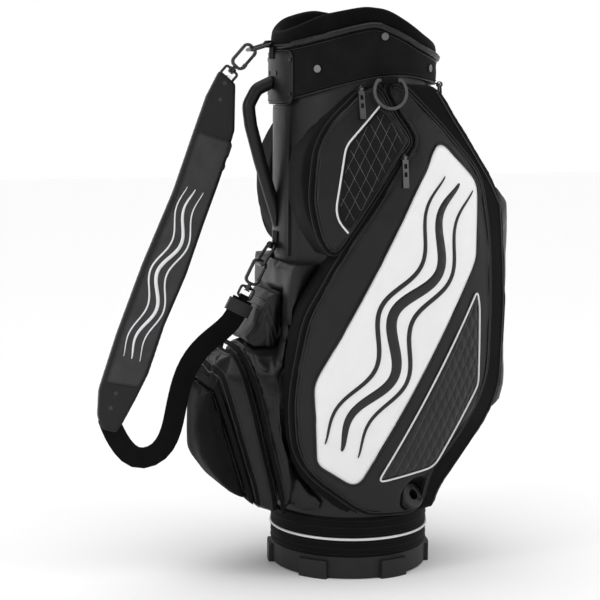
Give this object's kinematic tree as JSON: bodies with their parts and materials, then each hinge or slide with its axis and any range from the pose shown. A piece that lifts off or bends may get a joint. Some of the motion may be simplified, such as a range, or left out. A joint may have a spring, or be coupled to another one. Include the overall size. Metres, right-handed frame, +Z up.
{
  "type": "golf staff bag",
  "caption": "Golf staff bag with a padded open top divided for clubs, piped side panels, zipped pockets, a carry handle and a hook-on shoulder strap.",
  "frame": {"origin": "centre of the base on the floor", "axes": "+Z up along the club tube, -Y towards the strap and ball pocket, +X and -X towards the two side pockets"},
  "size_m": [0.3308, 0.647, 0.8535],
  "materials": {
    "leather": "satin grained synthetic leather",
    "white_leather": "satin grained synthetic leather",
    "quilt": "quilted, grey stitching",
    "knit": "matte padded knit",
    "black_fabric": "matte ribbed nylon",
    "zip_tape": "reverse coil zip tape",
    "webbing": "ribbed webbing",
    "liner_fabric": "matte nylon",
    "silver_piping": "silver coated piping",
    "rubber": "moulded, matte",
    "foam": "closed cell foam",
    "liner_plastic": "extruded sheet",
    "black_plastic": "moulded, satin",
    "steel": "drawn bar",
    "black_metal": "black plated, semi-gloss",
    "gunmetal": "dark gunmetal plating"
  },
  "bodies": {
    "bag": {"ball_pocket": "leather", "base_band": "black_fabric", "base_cup": "rubber", "base_pad": "foam", "base_piping": "silver_piping", "body_skin": "leather", "cuff_collar": "knit", "cuff_core": "black_plastic", "cuff_roll": "leather", "cuff_wrap": "knit", "divider_grid": "knit", "divider_sleeves": "liner_fabric", "front_pocket": "leather", "handle_core": "steel", "handle_grip": "leather", "handle_tab": "leather", "inner_tube": "liner_plastic", "main_pocket_left": "leather", "main_pocket_right": "leather", "outer_ball_pocket": "black_fabric", "quilt_panels": "quilt", "rear_pocket": "leather", "ring_loops": "webbing", "snap_studs": "gunmetal", "spine_strip": "leather", "stay_rods": "steel", "strap_rings": "black_metal", "tab_rivets": "black_metal", "umbrella_socket": "black_plastic", "upper_pocket_left": "leather", "upper_pocket_right": "leather", "valuables_pocket": "leather", "white_panels": "white_leather", "zip_chains": "zip_tape"},
    "towel_ring_body": {"towel_ring": "black_plastic"},
    "rear_ring_body": {"rear_ring": "black_metal"},
    "strap": {"strap_pad": "leather", "strap_webbing": "webbing", "strap_eyes": "black_metal", "strap_rivets": "black_metal", "strap_buckle": "black_plastic"},
    "top_hook": {"upper_hook": "black_metal"},
    "top_gate": {"upper_gate": "black_metal"},
    "bottom_hook": {"lower_hook": "black_metal"},
    "bottom_gate": {"lower_gate": "black_metal"},
    "main_zip_right": {"main_zip_slider_right": "black_metal"},
    "main_zip_tab_right": {"main_zip_pull_right": "gunmetal"},
    "main_zip_left": {"main_zip_slider_left": "black_metal"},
    "main_zip_tab_left": {"main_zip_pull_left": "gunmetal"},
    "upper_zip_right": {"upper_zip_slider_right": "black_metal"},
    "upper_zip_tab_right": {"upper_zip_pull_right": "gunmetal"},
    "upper_zip_left": {"upper_zip_slider_left": "black_metal"},
    "upper_zip_tab_left": {"upper_zip_pull_left": "gunmetal"},
    "inner_zip": {"inner_zip_slider": "black_metal"},
    "inner_zip_tab": {"inner_zip_pull": "gunmetal"},
    "outer_zip": {"outer_zip_slider": "black_metal"},
    "outer_zip_tab": {"outer_zip_pull": "gunmetal"},
    "valuables_zip": {"valuables_zip_slider": "black_metal"},
    "valuables_zip_tab": {"valuables_zip_pull": "gunmetal"}
  },
  "joints": [
    {"name": "towel_ring_swing", "type": "hinge", "parent": "bag", "child": "towel_ring_body", "pos_m": [0.138, 0.006, 0.748], "axis": [0, -1, 0], "range_deg": [0, 80]},
    {"name": "rear_ring_swing", "type": "hinge", "parent": "bag", "child": "rear_ring_body", "pos_m": [0.06174, 0.11611, 0.742], "axis": [0.8829, -0.4695, 0], "range_deg": [0, 80]},
    {"name": "strap_swing", "type": "hinge", "parent": "bag", "child": "strap", "pos_m": [0, -0.164, 0.791], "axis": [0, 0.0529, -0.9986], "range_deg": [-15, 15]},
    {"name": "top_hook_swivel", "type": "hinge", "parent": "strap", "child": "top_hook", "pos_m": [0, -0.164, 0.791], "axis": [0, -0.6702, -0.7422], "range_deg": [-20, 20]},
    {"name": "top_gate_hinge", "type": "hinge", "parent": "top_hook", "child": "top_gate", "pos_m": [0, -0.17132, 0.76797], "axis": [1, 0, 0], "range_deg": [0, 20], "stiffness_Nm_per_rad": 0.02},
    {"name": "bottom_hook_swivel", "type": "hinge", "parent": "strap", "child": "bottom_hook", "pos_m": [0, -0.147, 0.47], "axis": [0, -0.45, -0.893], "range_deg": [-20, 20]},
    {"name": "bottom_gate_hinge", "type": "hinge", "parent": "bottom_hook", "child": "bottom_gate", "pos_m": [0, -0.14797, 0.44585], "axis": [1, 0, 0], "range_deg": [0, 20], "stiffness_Nm_per_rad": 0.02},
    {"name": "main_zip_right_slide", "type": "slide", "parent": "bag", "child": "main_zip_right", "axis": [0.1231, -0.5619, -0.818], "range_m": [0, 0.06]},
    {"name": "main_zip_right_pull", "type": "hinge", "parent": "main_zip_right", "child": "main_zip_tab_right", "pos_m": [0.1534, 0.026, 0.637], "axis": [0, -1, 0], "range_deg": [0, 100]},
    {"name": "main_zip_left_slide", "type": "slide", "parent": "bag", "child": "main_zip_left", "axis": [-0.1231, -0.5619, -0.818], "range_m": [0, 0.06]},
    {"name": "main_zip_left_pull", "type": "hinge", "parent": "main_zip_left", "child": "main_zip_tab_left", "pos_m": [-0.1534, 0.026, 0.637], "axis": [0, 1, 0], "range_deg": [0, 100]},
    {"name": "upper_zip_right_slide", "type": "slide", "parent": "bag", "child": "upper_zip_right", "axis": [-0.005, -0.722, -0.6919], "range_m": [0, 0.055]},
    {"name": "upper_zip_right_pull", "type": "hinge", "parent": "upper_zip_right", "child": "upper_zip_tab_right", "pos_m": [0.1316, -0.0354, 0.7354], "axis": [0, -1, 0], "range_deg": [0, 100]},
    {"name": "upper_zip_left_slide", "type": "slide", "parent": "bag", "child": "upper_zip_left", "axis": [0.005, -0.722, -0.6919], "range_m": [0, 0.055]},
    {"name": "upper_zip_left_pull", "type": "hinge", "parent": "upper_zip_left", "child": "upper_zip_tab_left", "pos_m": [-0.1316, -0.0354, 0.7354], "axis": [0, 1, 0], "range_deg": [0, 100]},
    {"name": "inner_zip_slide", "type": "slide", "parent": "bag", "child": "inner_zip", "axis": [-0.8383, 0, -0.5452], "range_m": [0, 0.02]},
    {"name": "inner_zip_pull", "type": "hinge", "parent": "inner_zip", "child": "inner_zip_tab", "pos_m": [-0.055, -0.19229, 0.3573], "axis": [0, 1, 0], "range_deg": [0, 90]},
    {"name": "outer_zip_slide", "type": "slide", "parent": "bag", "child": "outer_zip", "axis": [-1, 0, 0], "range_m": [0, 0.02]},
    {"name": "outer_zip_pull", "type": "hinge", "parent": "outer_zip", "child": "outer_zip_tab", "pos_m": [-0.042, -0.2395, 0.312], "axis": [0, 0.4691, 0.8832], "range_deg": [0, 90]},
    {"name": "valuables_zip_slide", "type": "slide", "parent": "bag", "child": "valuables_zip", "axis": [0, -0.27, -0.9629], "range_m": [0, 0.016]},
    {"name": "valuables_zip_pull", "type": "hinge", "parent": "valuables_zip", "child": "valuables_zip_tab", "pos_m": [-0.0632, -0.1398, 0.415], "axis": [0, 0.9629, -0.27], "range_deg": [0, 90]}
  ]
}
